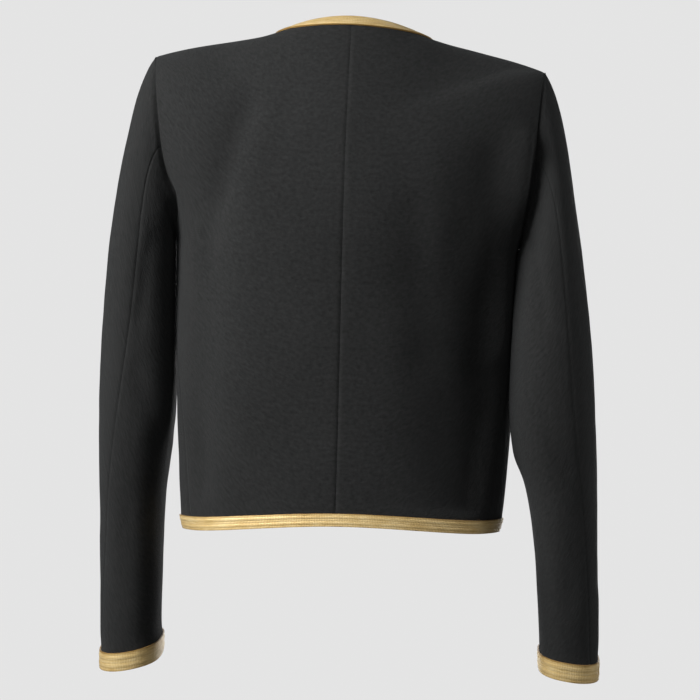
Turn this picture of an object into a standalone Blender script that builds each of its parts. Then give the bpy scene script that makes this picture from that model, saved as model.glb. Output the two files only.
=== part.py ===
# Cropped collarless jacket in black wool with gold braid, worn form on a general figure.
# Every piece of cloth is a wall lofted through rows worked out from the sizes below.
# Metres. +Z is up, the chest faces -Y and the wearer's left is +X.
# The origin is the middle of the shoulder line, where the wearer carries the jacket.

import bisect
import math
from collections import namedtuple

import bpy
from mathutils import Vector

COLLECTION = "cropped_jacket"

# Cloth and trim
WALL = 0.0020
SEAM_GAP = 0.0003
FRONT_GAP = 0.0030
BRAID_WIDTH = 0.0125
CUFF_BRAID_WIDTH = 0.0180
BRAID_LIFT = 0.0003
BRAID_OVERHANG = 0.0007

# Shoulder line of the upright, even garment
NECK_SIDE = Vector((0.0670, -0.0040, 0.0132))
SHOULDER_POINT = Vector((0.1955, -0.0060, -0.0142))
SHOULDER_ROUND = 0.0046

# Armhole, seen from the side
UNDERARM_HEIGHT = -0.197
ARMHOLE_BACK_REACH = 0.060
ARMHOLE_FRONT_REACH = 0.056

# Height of the hem at the side seam
HEM_HEIGHT = -0.4780

# Lean of the worn garment: shoulder line up on the wearer's left, hem down on that side
SHOULDER_TILT = math.radians(1.0)
HEM_TILT = math.radians(-1.1)
SHOULDER_SLIDE = 0.035

# How finely the cloth is drawn
SQUARENESS = 2.2
FLAT_POWER = 1.6
BACK_FLATNESS = 0.70
BACK_COLUMNS = 10
FRONT_COLUMNS = 12
SHOULDER_STEPS = (0.37, 0.68, 1.0)
ARMHOLE_STEP = 18
SIDE_STEPS = 7

LinePoint = namedtuple("LinePoint", "height depth")
CENTRE_BACK = (
    LinePoint(0.0257, 0.0555),
    LinePoint(0.0172, 0.0645),
    LinePoint(-0.0100, 0.0780),
    LinePoint(-0.0450, 0.0930),
    LinePoint(-0.0900, 0.1075),
    LinePoint(-0.1400, 0.1155),
    LinePoint(-0.2000, 0.1160),
    LinePoint(-0.2600, 0.1115),
    LinePoint(-0.3200, 0.1060),
    LinePoint(-0.3850, 0.1025),
    LinePoint(-0.4400, 0.1030),
    LinePoint(-0.4790, 0.1045),
)
CENTRE_FRONT = (
    LinePoint(-0.0650, -0.0840),
    LinePoint(-0.0780, -0.0885),
    LinePoint(-0.1150, -0.1040),
    LinePoint(-0.1550, -0.1200),
    LinePoint(-0.2050, -0.1300),
    LinePoint(-0.2550, -0.1300),
    LinePoint(-0.3200, -0.1240),
    LinePoint(-0.3900, -0.1190),
    LinePoint(-0.4830, -0.1180),
)

# Half width of the body below the armholes, and the side seam's place counted from centre back
Body = namedtuple("Body", "height half_width seam")
BODY = (
    Body(-0.197, 0.1715, 90),
    Body(-0.235, 0.1715, 85),
    Body(-0.290, 0.1705, 78),
    Body(-0.340, 0.1692, 71),
    Body(-0.385, 0.1675, 66),
    Body(-0.430, 0.1645, 64),
    Body(-0.460, 0.1620, 63),
    Body(-0.479, 0.1572, 63),
)

# How far out the armhole stands, at its angles from the underarm up
Armhole = namedtuple("Armhole", "angle back_left back_right front")
ARMHOLE = (
    Armhole(0, 0.1715, 0.1715, 0.1715),
    Armhole(36, 0.1688, 0.1722, 0.1690),
    Armhole(58, 0.1672, 0.1776, 0.1695),
    Armhole(72, 0.1752, 0.1822, 0.1700),
    Armhole(90, 0.1820, 0.1850, 0.1730),
    Armhole(126, 0.1893, 0.1898, 0.1820),
    Armhole(180, 0.1955, 0.1955, 0.1955),
)

# How far round its oval a row has turned where it meets the shoulder seam, from the neck out
Turn = namedtuple("Turn", "share turned")
SHOULDER_TURNS = (Turn(0.0, 90), Turn(0.37, 88), Turn(0.68, 75), Turn(1.0, 50))

# Heights on the centre line of the rows at the neck, under its braid, and at the shoulder's end,
# the underarm and the hem
Face = namedtuple("Face", "line neck strip shoulder underarm hem sign columns")
BACK = Face(CENTRE_BACK, 0.0257, 0.0170, -0.0700, -0.2030, -0.4696, 1, BACK_COLUMNS)
FRONT = Face(CENTRE_FRONT, -0.0650, -0.0770, -0.1150, -0.2130, -0.4830, -1, FRONT_COLUMNS)

# Sleeve rings of the hanging arms: outer and inner side, middle from front to back
Ring = namedtuple("Ring", "height outer_left inner_left middle_left outer_right inner_right"
                          " middle_right half_depth back_seam_left back_seam_right")
SLEEVE = (
    Ring(-0.215, 0.2430, 0.1748, -0.018, 0.2345, 0.1718, 0.020, 0.0700, 95, 72),
    Ring(-0.290, 0.2484, 0.1728, -0.030, 0.2440, 0.1690, 0.030, 0.0665, 84, 68),
    Ring(-0.380, 0.2499, 0.1742, -0.036, 0.2510, 0.1700, 0.028, 0.0625, 67, 62),
    Ring(-0.450, 0.2484, 0.1826, -0.046, 0.2550, 0.1874, 0.014, 0.0580, 55, 58),
    Ring(-0.550, 0.2455, 0.1844, -0.058, 0.2595, 0.1984, -0.002, 0.0520, 38, 52),
    Ring(-0.622, 0.2448, 0.1848, -0.067, 0.2602, 0.2030, -0.014, 0.0495, 29, 46),
)
SLEEVE_HEIGHTS = (-0.215, -0.250, -0.290, -0.335, -0.380, -0.415, -0.450, -0.500, -0.550, -0.590)
SLEEVE_FRONT_SEAM = 234
SLEEVE_BACK_SEAM_AT_ARMHOLE = 90
SLEEVE_SQUARENESS = 2.6
CUFF_HEIGHT = {"left": -0.6220, "right": -0.6145}
CUFF_SLOPE = {"left": 0.0095, "right": 0.0060}
CUFF_LOW_SIDE = 50

# Sleeve head: direction and pull of the cloth where it leaves the armhole, on each side of the arm
Head = namedtuple("Head", "outward back up leave arrive")
HEAD_TOP = Head(1.00, 0.00, -0.35, 0.020, 0.068)
HEAD_BACK = Head(0.85, 0.15, -0.50, 0.020, 0.050)
HEAD_UNDER = Head(0.20, 0.00, 1.00, 0.006, 0.012)
HEAD_FRONT = Head(0.85, -0.15, -0.50, 0.020, 0.050)
HEAD_STEPS = (0.06, 0.14, 0.26, 0.42, 0.60, 0.80)

# Largest soft folds of the back: ends, depth and half width
Fold = namedtuple("Fold", "start_x start_z end_x end_z depth half_width")
BACK_FOLDS = (
    Fold(0.113, -0.080, 0.136, -0.155, 0.0035, 0.020),
    Fold(-0.136, -0.120, -0.120, -0.190, 0.0035, 0.020),
    Fold(-0.066, -0.175, -0.062, -0.245, 0.0025, 0.022),
)

# Section of the braid: share of its width from the lower edge, and height over the cloth
Ridge = namedtuple("Ridge", "across height")
BRAID_SECTION = (
    Ridge(0.00, 0.0010),
    Ridge(0.12, 0.0018),
    Ridge(0.32, 0.0021),
    Ridge(0.50, 0.0012),
    Ridge(0.68, 0.0021),
    Ridge(0.88, 0.0018),
    Ridge(1.00, 0.0010),
)

WOOL = ("wool", (0.017, 0.018, 0.019, 1.0), 0.90, 0.0)
BRAID = ("gold_braid", (0.62, 0.43, 0.17, 1.0), 0.42, 0.75)

SIDES = {"left": 1, "right": -1}
ARMHOLE_ROWS = 180 // ARMHOLE_STEP
# Columns of a sleeve, and those of its back and front seams
SLEEVE_COLUMNS = (2 * ARMHOLE_ROWS, SLEEVE_BACK_SEAM_AT_ARMHOLE // ARMHOLE_STEP,
                  SLEEVE_FRONT_SEAM // ARMHOLE_STEP)


def mix(a, b, share):
    return a + (b - a) * share


def ease(share):
    return share * share * (3 - 2 * share)


def along(table, key, column, value):
    """Value of a table's column on a smooth curve through its rows."""
    rows = sorted((getattr(row, key), getattr(row, column)) for row in table)
    keys = [row[0] for row in rows]
    values = [row[1] for row in rows]
    value = min(max(value, keys[0]), keys[-1])
    last = len(keys) - 1
    low = min(bisect.bisect_right(keys, value) - 1, last - 1)

    def slope(n):
        before, after = max(n - 1, 0), min(n + 1, last)
        return (values[after] - values[before]) / (keys[after] - keys[before])

    width = keys[low + 1] - keys[low]
    t = (value - keys[low]) / width
    start = (2 * t ** 3 - 3 * t ** 2 + 1) * values[low] + (t ** 3 - 2 * t ** 2 + t) * width * slope(low)
    end = (3 * t ** 2 - 2 * t ** 3) * values[low + 1] + (t ** 3 - t ** 2) * width * slope(low + 1)
    return start + end


def oval(turned, squareness):
    """Point of a unit superellipse: sideways and forward share after turning from its centre line."""
    across, forward = math.sin(turned), math.cos(turned)
    reach = (abs(across) ** squareness + abs(forward) ** squareness) ** (-1 / squareness)
    return across * reach, forward * reach


def body_point(height, turned):
    """Point of the body's level section below the armholes, turned from centre back."""
    back = along(CENTRE_BACK, "height", "depth", height)
    front = along(CENTRE_FRONT, "height", "depth", height)
    across, forward = oval(turned, SQUARENESS)
    half_width = along(BODY, "height", "half_width", height)
    return Vector((half_width * across, (back + front) / 2 + (back - front) / 2 * forward, height))


def underarm_point():
    return body_point(UNDERARM_HEIGHT, math.pi / 2)


def armhole_point(angle, side):
    """Point of the armhole seam: 0 degrees is the underarm, 90 the back, -90 the front, 180 the top."""
    turned = math.radians(angle)
    rise = (1 - math.cos(turned)) / 2
    underarm = underarm_point()
    reach = ARMHOLE_BACK_REACH if angle > 0 else ARMHOLE_FRONT_REACH
    column = "front" if angle <= 0 else "back_left" if side > 0 else "back_right"
    return Vector((
        along(ARMHOLE, "angle", column, abs(angle)),
        mix(underarm.y, SHOULDER_POINT.y, rise) + reach * math.sin(turned),
        mix(underarm.z, SHOULDER_POINT.z, rise)))


def turned_at_armhole(face, edge, centre_height, angle):
    """How far a row has turned at the armhole: as the body's oval has, and less towards the top."""
    middle = underarm_point().y
    share = (edge.y - middle) / (along(face.line, "height", "depth", centre_height) - middle)
    across = (1 - max(share, 0) ** SQUARENESS) ** (1 / SQUARENESS)
    top = math.radians(SHOULDER_TURNS[-1].turned)
    return mix(math.atan2(across, share), top, ease(max(angle - 90, 0) / 90))


# Ridge says how much a row's end follows the slope of the shoulder, flatness how little it bulges
Row = namedtuple("Row", "centre_height edge turned ridge flatness")


def shoulder_point(share):
    """Point of the shoulder line from the neck out. Its outer end rounds down over the arm."""
    point = NECK_SIDE + (SHOULDER_POINT - NECK_SIDE) * share
    point.z += SHOULDER_ROUND * (share - share ** 6)
    return point


def face_rows(face, side):
    """Rows of a panel from the neck to the hem: shoulder, then armhole, then side seam."""
    rows = []
    strip = BRAID_WIDTH / (SHOULDER_POINT - NECK_SIDE).length
    flatness = BACK_FLATNESS if face is BACK else 0
    rows.append(Row(face.neck, NECK_SIDE, math.pi / 2, 1, 0))
    rows.append(Row(face.strip, shoulder_point(strip), math.pi / 2, 1, flatness * strip))
    for share in SHOULDER_STEPS:
        height = mix(face.strip, face.shoulder, (share - strip) / (1 - strip))
        turned = math.radians(along(SHOULDER_TURNS, "share", "turned", share))
        rows.append(Row(height, shoulder_point(share), turned, 1, flatness * share))
    for angle in range(180 - ARMHOLE_STEP, -1, -ARMHOLE_STEP):
        drop = (1 + math.cos(math.radians(angle))) / 2
        height = mix(face.shoulder, face.underarm, drop)
        edge = armhole_point(face.sign * angle, side)
        ridge = max(-math.cos(math.radians(angle)), 0) ** 2
        turned = turned_at_armhole(face, edge, height, angle)
        rows.append(Row(height, edge, turned, ridge, flatness * (1 - ease(drop))))
    strip_share = 1 - BRAID_WIDTH / (UNDERARM_HEIGHT - HEM_HEIGHT)
    shares = [strip_share * step / SIDE_STEPS for step in range(1, SIDE_STEPS + 1)] + [1.0]
    for share in shares:
        height = mix(UNDERARM_HEIGHT, HEM_HEIGHT, share)
        seam = math.radians(along(BODY, "height", "seam", height))
        turned = seam if face.sign > 0 else math.pi - seam
        rows.append(Row(mix(face.underarm, face.hem, share), body_point(height, seam), turned, 0, 0))
    return rows


def fold_depth(x, z):
    """How far the soft folds press the back in at a point."""
    depth = 0
    for fold in BACK_FOLDS:
        start = Vector((fold.start_x, fold.start_z))
        run = Vector((fold.end_x, fold.end_z)) - start
        share = min(max((Vector((x, z)) - start).dot(run) / run.length_squared, 0), 1)
        away = (Vector((x, z)) - start - run * share).length
        depth += fold.depth * math.exp(-(away / fold.half_width) ** 2)
    return depth


def lean(point):
    """The upright, even garment moved to the way it is worn."""
    worn = min(max((point.z - HEM_HEIGHT) / (SHOULDER_POINT.z - HEM_HEIGHT), 0), 1)
    slide = SHOULDER_SLIDE * max(abs(point.x) - NECK_SIDE.x, 0) * worn ** 2
    tilt = mix(HEM_TILT, SHOULDER_TILT, worn)
    return Vector((point.x + slide, point.y, point.z + point.x * math.tan(tilt)))


def face_grid(face, side):
    """Outer points of a panel, a list for each row, from the centre line to the edge."""
    edge_gap = SEAM_GAP / 2 if face is BACK else FRONT_GAP / 2
    shoulder = SHOULDER_POINT - NECK_SIDE
    grid = []
    for row in face_rows(face, side):
        across_edge, forward_edge = oval(row.turned, SQUARENESS)
        centre_depth = along(face.line, "height", "depth", row.centre_height)
        first = BRAID_WIDTH * across_edge / row.edge.x
        turns = [0] + [mix(first, row.turned, n / (face.columns - 1)) for n in range(face.columns)]
        points = []
        for turned in turns:
            across, forward = oval(turned, SQUARENESS)
            x = mix(edge_gap, row.edge.x, across / across_edge)
            bulged = (1 - forward) / (1 - forward_edge)
            flat = (across / across_edge) ** FLAT_POWER
            y = mix(centre_depth, row.edge.y, mix(bulged, flat, row.flatness))
            z = mix(row.centre_height, row.edge.z, ease(turned / row.turned))
            z += row.ridge * shoulder.z / shoulder.x * (x - row.edge.x) * (turned / row.turned) ** 4
            if face is BACK:
                y -= fold_depth(side * x, z) * ease(min(1, (1 - turned / row.turned) * 4))
            points.append(lean(Vector((side * x, y, z))))
        grid.append(points)
    return grid


def normals(grid, side, closed=False):
    """Outward directions at a grid's points. Rows run down and columns away from the centre line."""
    result = []
    last_row, count = len(grid) - 1, len(grid[0])
    for r, row in enumerate(grid):
        line = []
        for c in range(count):
            before = (c - 1) % count if closed else max(c - 1, 0)
            after = (c + 1) % count if closed else min(c + 1, count - 1)
            across = row[after] - row[before]
            down = grid[min(r + 1, last_row)][c] - grid[max(r - 1, 0)][c]
            line.append(across.cross(down).normalized() * side)
        result.append(line)
    return result


def share_normals(back_sets, front_sets):
    """Gives both panels the same direction along the shoulder, the side seam and the centre back."""
    shoulder_rows = 2 + len(SHOULDER_STEPS)
    for side in SIDES:
        for r in range(len(back_sets[side])):
            centre = back_sets[side][r][0]
            back_sets[side][r][0] = Vector((0, centre.y, centre.z)).normalized()
            in_armhole = shoulder_rows <= r < shoulder_rows + ARMHOLE_ROWS - 1
            if not in_armhole:
                both = (back_sets[side][r][-1] + front_sets[side][r][-1]).normalized()
                back_sets[side][r][-1] = both
                front_sets[side][r][-1] = both


def pulled_in(grid):
    """The grid with its first and last columns drawn back by half a seam gap."""
    result = [list(row) for row in grid]
    for row in result:
        row[0] = row[0] + (row[1] - row[0]).normalized() * SEAM_GAP / 2
        row[-1] = row[-1] + (row[-2] - row[-1]).normalized() * SEAM_GAP / 2
    return result


def offset(grid, directions, distance):
    return [[point + way * distance for point, way in zip(row, ways)]
            for row, ways in zip(grid, directions)]


def material(settings):
    name, colour, roughness, metallic = settings
    made = bpy.data.materials.get(name)
    if made is None:
        made = bpy.data.materials.new(name)
        made.use_nodes = True
        shader = made.node_tree.nodes["Principled BSDF"]
        shader.inputs["Base Color"].default_value = colour
        shader.inputs["Roughness"].default_value = roughness
        shader.inputs["Metallic"].default_value = metallic
    return made


def add_object(name, vertices, faces, settings, collection):
    mesh = bpy.data.meshes.new(name)
    mesh.from_pydata([tuple(v) for v in vertices], [], faces)
    mesh.update()
    mesh.shade_smooth()
    mesh.set_sharp_from_angle(angle=math.radians(40))
    mesh.materials.append(material(settings))
    made = bpy.data.objects.new(name, mesh)
    collection.objects.link(made)
    return made


def add_wall(name, outer, inner, side, collection):
    """A closed wall between an outer and an inner grid of the same size."""
    rows, columns = len(outer), len(outer[0])
    vertices = [point for row in outer for point in row] + [point for row in inner for point in row]
    shift = rows * columns
    faces = []
    for r in range(rows - 1):
        for c in range(columns - 1):
            corner = r * columns + c
            across = corner + columns + 1
            for triangle in ((corner, across - 1, across), (corner, across, corner + 1)):
                faces.append(triangle)
                faces.append(tuple(shift + n for n in reversed(triangle)))
    rim = list(range(columns))
    rim += [r * columns + columns - 1 for r in range(1, rows)]
    rim += [(rows - 1) * columns + c for c in range(columns - 2, -1, -1)]
    rim += [r * columns for r in range(rows - 2, 0, -1)]
    for n, a in enumerate(rim):
        b = rim[(n + 1) % len(rim)]
        forward = (vertices[a] - vertices[shift + b]).length
        backward = (vertices[b] - vertices[shift + a]).length
        if forward < backward:
            faces += [(a, b, shift + b), (a, shift + b, shift + a)]
        else:
            faces += [(a, b, shift + a), (b, shift + b, shift + a)]
    if side > 0:
        faces = [tuple(reversed(face)) for face in faces]
    return add_object(name, vertices, faces, WOOL, collection)


def add_braid(name, lower, upper, slants, side, collection, closed=False, overhang=True):
    """Ridged braid laid on the cloth between two lines of its outer points and directions.

    A slant says which way the cloth's triangles lean under a stretch of the braid.
    """
    sections = []
    for (low, low_way), (high, high_way) in zip(lower, upper):
        share = BRAID_OVERHANG / (high - low).length if overhang else 0
        section = []
        for ridge in BRAID_SECTION:
            way = mix(low_way, high_way, ridge.across).normalized()
            section.append(mix(low, high, mix(-share, 1, ridge.across)) + way * ridge.height)
        section.append(high + high_way * BRAID_LIFT)
        section.append(mix(low, high, -share) + low_way * BRAID_LIFT)
        sections.append(section)
    size = len(sections[0])
    vertices = [point for section in sections for point in section]
    count = len(sections)
    faces = []
    for s in range(count if closed else count - 1):
        this, following = s * size, (s + 1) % count * size
        for n in range(size):
            m = (n + 1) % size
            on_cloth = n == size - 2
            if slants[s] != on_cloth:
                faces += [(this + n, this + m, following + m), (this + n, following + m, following + n)]
            else:
                faces += [(this + n, this + m, following + n), (this + m, following + m, following + n)]
    if not closed:
        faces.append(tuple(reversed(range(size))))
        faces.append(tuple((count - 1) * size + n for n in range(size)))
    if side < 0:
        faces = [tuple(reversed(face)) for face in faces]
    return add_object(name, vertices, faces, BRAID, collection)


def sleeve_ring(side_name, height, drop=0.0):
    """Outer points of a sleeve ring, from its outer side round the back. The cuff's ring slopes."""
    side = SIDES[side_name]
    outer = along(SLEEVE, "height", "outer_" + side_name, height)
    inner = along(SLEEVE, "height", "inner_" + side_name, height)
    middle = along(SLEEVE, "height", "middle_" + side_name, height)
    half_depth = along(SLEEVE, "height", "half_depth", height)
    back_seam = along(SLEEVE, "height", "back_seam_" + side_name, height)
    count, seam_column, front_column = SLEEVE_COLUMNS
    points = []
    for k in range(count):
        if k <= seam_column:
            share = (k + count - front_column) / (seam_column + count - front_column)
            angle = mix(SLEEVE_FRONT_SEAM - 360, back_seam, share)
        elif k <= front_column:
            angle = mix(back_seam, SLEEVE_FRONT_SEAM, (k - seam_column) / (front_column - seam_column))
        else:
            share = (k - front_column) / (seam_column + count - front_column)
            angle = mix(SLEEVE_FRONT_SEAM - 360, back_seam, share)
        backward, outward = oval(math.radians(angle), SLEEVE_SQUARENESS)
        slope = -drop * math.cos(math.radians(angle - CUFF_LOW_SIDE))
        points.append(Vector((
            side * ((outer + inner) / 2 + (outer - inner) / 2 * outward),
            middle + half_depth * backward,
            height + slope)))
    return points


def head_pull(angle):
    """Direction and pull of the cloth at the armhole, mixed from the four sides of the arm."""
    turned = math.radians(angle)
    shares = (max(math.cos(turned), 0) ** 2, max(math.sin(turned), 0) ** 2,
              max(-math.cos(turned), 0) ** 2, max(-math.sin(turned), 0) ** 2)
    heads = (HEAD_TOP, HEAD_BACK, HEAD_UNDER, HEAD_FRONT)
    return Head(*(sum(share * head[n] for share, head in zip(shares, heads)) for n in range(5)))


def sleeve_grid(side_name, edges):
    """Outer rings of a sleeve from the armhole to the cuff, over the sleeve head."""
    side = SIDES[side_name]
    count = SLEEVE_COLUMNS[0]
    first = sleeve_ring(side_name, SLEEVE_HEIGHTS[0])
    second = sleeve_ring(side_name, SLEEVE_HEIGHTS[1])
    rings = [[edge.outer for edge in edges]]
    for step in HEAD_STEPS:
        ring = []
        for k in range(count):
            pull = head_pull(k * ARMHOLE_STEP)
            leave = Vector((side * pull.outward, pull.back, pull.up)).normalized() * pull.leave
            arrive = (second[k] - first[k]).normalized() * pull.arrive
            start, end = edges[k].outer, first[k]
            left = 1 - step
            ring.append(start * left ** 3 + (start + leave) * 3 * step * left ** 2
                        + (end - arrive) * 3 * step ** 2 * left + end * step ** 3)
        rings.append(ring)
    for height in SLEEVE_HEIGHTS:
        rings.append(sleeve_ring(side_name, height))
    cuff = CUFF_HEIGHT[side_name]
    rings.append(sleeve_ring(side_name, cuff + CUFF_BRAID_WIDTH, CUFF_SLOPE[side_name]))
    rings.append(sleeve_ring(side_name, cuff, CUFF_SLOPE[side_name]))
    return rings


Edge = namedtuple("Edge", "outer inner way")


def armhole_edges(back, front, back_ways, front_ways):
    """Edge points of one armhole, from its top round the back, a seam gap outside the panels."""
    top_row = 1 + len(SHOULDER_STEPS)
    order = [(back, back_ways, top_row + n) for n in range(ARMHOLE_ROWS + 1)]
    order += [(front, front_ways, top_row + n) for n in range(ARMHOLE_ROWS - 1, 0, -1)]
    points = [grid[r][-1] for grid, ways, r in order]
    edges = []
    for k, (grid, ways, r) in enumerate(order):
        seam = points[(k + 1) % len(points)] - points[k - 1]
        out = seam.cross(ways[r][-1]).normalized() * SEAM_GAP
        if out.dot(grid[r][-1] - grid[r][-2]) < 0:
            out = -out
        point = points[k] + out
        edges.append(Edge(point, point - ways[r][-1] * WALL, ways[r][-1]))
    return edges


def make_body(collection):
    back = {name: face_grid(BACK, side) for name, side in SIDES.items()}
    front = {name: face_grid(FRONT, side) for name, side in SIDES.items()}
    back_ways = {name: normals(back[name], side) for name, side in SIDES.items()}
    front_ways = {name: normals(front[name], -side) for name, side in SIDES.items()}
    share_normals(back_ways, front_ways)
    for name, side in SIDES.items():
        back_inner = offset(back[name], back_ways[name], -WALL)
        front_inner = offset(front[name], front_ways[name], -WALL)
        shoulder_end = 1 + len(SHOULDER_STEPS)
        add_wall("back_" + name, seam_edges(back[name], shoulder_end),
                 seam_edges(back_inner, shoulder_end), side, collection)
        add_wall("front_" + name, seam_edges(front[name], shoulder_end),
                 seam_edges(front_inner, shoulder_end), -side, collection)
    return back, front, back_ways, front_ways


def seam_edges(grid, shoulder_end):
    """A panel's grid drawn back by half a seam gap along its shoulder and side seams."""
    result = [list(row) for row in grid]
    underarm = shoulder_end + ARMHOLE_ROWS
    for r, row in enumerate(result):
        if r <= shoulder_end or r >= underarm:
            row[-1] = row[-1] + (row[-2] - row[-1]).normalized() * SEAM_GAP / 2
    return result


def make_sleeve(name, edges, collection):
    side = SIDES[name]
    grid = sleeve_grid(name, edges)
    ways = normals(grid, -side, closed=True)
    ways[0] = [edge.way for edge in edges]
    inner = offset(grid, ways, -WALL)
    count, seam_column, front_column = SLEEVE_COLUMNS
    pieces = (("upper_sleeve_", range(front_column, seam_column + count + 1)),
              ("under_sleeve_", range(seam_column, front_column + 1)))
    for piece, columns in pieces:
        outer_part = [[row[c % count] for c in columns] for row in grid]
        inner_part = [[row[c % count] for c in columns] for row in inner]
        add_wall(piece + name, pulled_in(outer_part), pulled_in(inner_part), -side, collection)
    edge_line, above = (list(zip(grid[r], ways[r])) for r in (-1, -2))
    add_braid("braid_cuff_" + name, edge_line, above, [False] * count, -side, collection, closed=True)


def round_body(front, back, row):
    """One row of points or directions round the body, from the left front edge to the right."""
    left = front["left"][row] + back["left"][row][-2::-1]
    right = back["right"][row][1:] + front["right"][row][-2::-1]
    return left + right


def round_body_slants(outward_slant):
    """Which way the cloth leans in each stretch of round_body."""
    front, back = [outward_slant] * FRONT_COLUMNS, [not outward_slant] * BACK_COLUMNS
    return front + back + [not n for n in back] + [not n for n in front]


def make_braids(back, front, back_ways, front_ways, collection):
    lines = {row: list(zip(round_body(front, back, row), round_body(front_ways, back_ways, row)))
             for row in (0, 1, -2, -1)}
    add_braid("braid_hem", lines[-1], lines[-2], round_body_slants(False), -1, collection)
    add_braid("braid_neck", lines[0], lines[1], round_body_slants(True), 1, collection)
    for name, side in SIDES.items():
        points, ways = front[name], front_ways[name]
        covered = range(1, len(points) - 1)
        edge, inside = ([points[r][c] for r in covered] for c in (0, 1))
        for line in (edge, inside):
            line[0] = line[0] + (line[1] - line[0]).normalized() * SEAM_GAP
            line[-1] = line[-1] + (line[-2] - line[-1]).normalized() * SEAM_GAP
        edge_line, inside_line = ([(point, ways[r][c]) for point, r in zip(line, covered)]
                                  for c, line in enumerate((edge, inside)))
        add_braid("braid_front_" + name, edge_line, inside_line, [True] * len(edge_line), -side,
                  collection, overhang=False)


def main():
    for old in list(bpy.data.objects):
        bpy.data.objects.remove(old, do_unlink=True)
    collection = bpy.data.collections.new(COLLECTION)
    bpy.context.scene.collection.children.link(collection)
    back, front, back_ways, front_ways = make_body(collection)
    for name in SIDES:
        edges = armhole_edges(back[name], front[name], back_ways[name], front_ways[name])
        make_sleeve(name, edges, collection)
    make_braids(back, front, back_ways, front_ways, collection)


main()
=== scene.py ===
# Looks of the cropped collarless jacket: wool shells with soft creases, and ridged gold braid.
# Metres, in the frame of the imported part: the chest faces -Y and the wearer's left is +X.

import bisect
import math
from collections import namedtuple

import bpy
import numpy as np
from mathutils import Matrix, Vector, noise


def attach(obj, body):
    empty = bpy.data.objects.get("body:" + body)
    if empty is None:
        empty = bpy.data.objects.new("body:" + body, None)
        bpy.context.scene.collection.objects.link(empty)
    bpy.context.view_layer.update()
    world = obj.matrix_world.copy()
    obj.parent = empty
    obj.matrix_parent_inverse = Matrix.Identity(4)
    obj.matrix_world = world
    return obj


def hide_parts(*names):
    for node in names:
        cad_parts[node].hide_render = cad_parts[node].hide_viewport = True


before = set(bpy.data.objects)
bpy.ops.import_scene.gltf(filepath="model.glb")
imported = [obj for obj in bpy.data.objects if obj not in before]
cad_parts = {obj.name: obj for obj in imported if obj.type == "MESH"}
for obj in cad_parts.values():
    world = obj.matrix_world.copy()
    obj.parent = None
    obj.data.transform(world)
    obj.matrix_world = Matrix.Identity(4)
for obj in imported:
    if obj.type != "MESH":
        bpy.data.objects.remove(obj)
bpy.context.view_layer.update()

# Cloth and trim
WALL = 0.0020
SEAM_GAP = 0.00006
FRONT_GAP = 0.0030
BRAID_WIDTH = 0.0125
CUFF_BRAID_WIDTH = 0.0180
BRAID_LIFT = 0.0003
BRAID_OVERHANG = 0.0007

# The garment's form, as in the part's source
NECK_SIDE = Vector((0.0670, -0.0040, 0.0132))
SHOULDER_POINT = Vector((0.1955, -0.0060, -0.0142))
SHOULDER_ROUND = 0.0046
SHOULDER_ROUND_POWER = 6
RIDGE_POWER = 4
UNDERARM_HEIGHT = -0.197
ARMHOLE_BACK_REACH = 0.060
ARMHOLE_FRONT_REACH = 0.056
HEM_HEIGHT = -0.4780
SHOULDER_TILT = math.radians(1.0)
HEM_TILT = math.radians(-1.1)
SHOULDER_SLIDE = 0.035
SQUARENESS = 2.2
FLAT_POWER = 1.6
BACK_FLATNESS = 0.70
# Share of a row, next to its outer end, over which the back's folds fade out
FOLD_FADE = 0.25

LinePoint = namedtuple("LinePoint", "height depth")
CENTRE_BACK = (
    LinePoint(0.0257, 0.0555),
    LinePoint(0.0172, 0.0645),
    LinePoint(-0.0100, 0.0780),
    LinePoint(-0.0450, 0.0930),
    LinePoint(-0.0900, 0.1075),
    LinePoint(-0.1400, 0.1155),
    LinePoint(-0.2000, 0.1160),
    LinePoint(-0.2600, 0.1115),
    LinePoint(-0.3200, 0.1060),
    LinePoint(-0.3850, 0.1025),
    LinePoint(-0.4400, 0.1030),
    LinePoint(-0.4790, 0.1045),
)
CENTRE_FRONT = (
    LinePoint(-0.0650, -0.0840),
    LinePoint(-0.0780, -0.0885),
    LinePoint(-0.1150, -0.1040),
    LinePoint(-0.1550, -0.1200),
    LinePoint(-0.2050, -0.1300),
    LinePoint(-0.2550, -0.1300),
    LinePoint(-0.3200, -0.1240),
    LinePoint(-0.3900, -0.1190),
    LinePoint(-0.4830, -0.1180),
)

Body = namedtuple("Body", "height half_width seam")
BODY = (
    Body(-0.197, 0.1715, 90),
    Body(-0.235, 0.1715, 85),
    Body(-0.290, 0.1705, 78),
    Body(-0.340, 0.1692, 71),
    Body(-0.385, 0.1675, 66),
    Body(-0.430, 0.1645, 64),
    Body(-0.460, 0.1620, 63),
    Body(-0.479, 0.1572, 63),
)

Armhole = namedtuple("Armhole", "angle back_left back_right front")
ARMHOLE = (
    Armhole(0, 0.1715, 0.1715, 0.1715),
    Armhole(36, 0.1688, 0.1722, 0.1690),
    Armhole(58, 0.1672, 0.1776, 0.1695),
    Armhole(72, 0.1752, 0.1822, 0.1700),
    Armhole(90, 0.1820, 0.1850, 0.1730),
    Armhole(126, 0.1893, 0.1898, 0.1820),
    Armhole(180, 0.1955, 0.1955, 0.1955),
)

Turn = namedtuple("Turn", "share turned")
SHOULDER_TURNS = (Turn(0.0, 90), Turn(0.37, 88), Turn(0.68, 75), Turn(1.0, 50))

# A face's rows start on its centre line at these heights
Face = namedtuple("Face", "line neck strip shoulder underarm hem sign")
BACK = Face(CENTRE_BACK, 0.0257, 0.0170, -0.0700, -0.2030, -0.4696, 1)
FRONT = Face(CENTRE_FRONT, -0.0650, -0.0770, -0.1150, -0.2130, -0.4830, -1)

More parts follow.
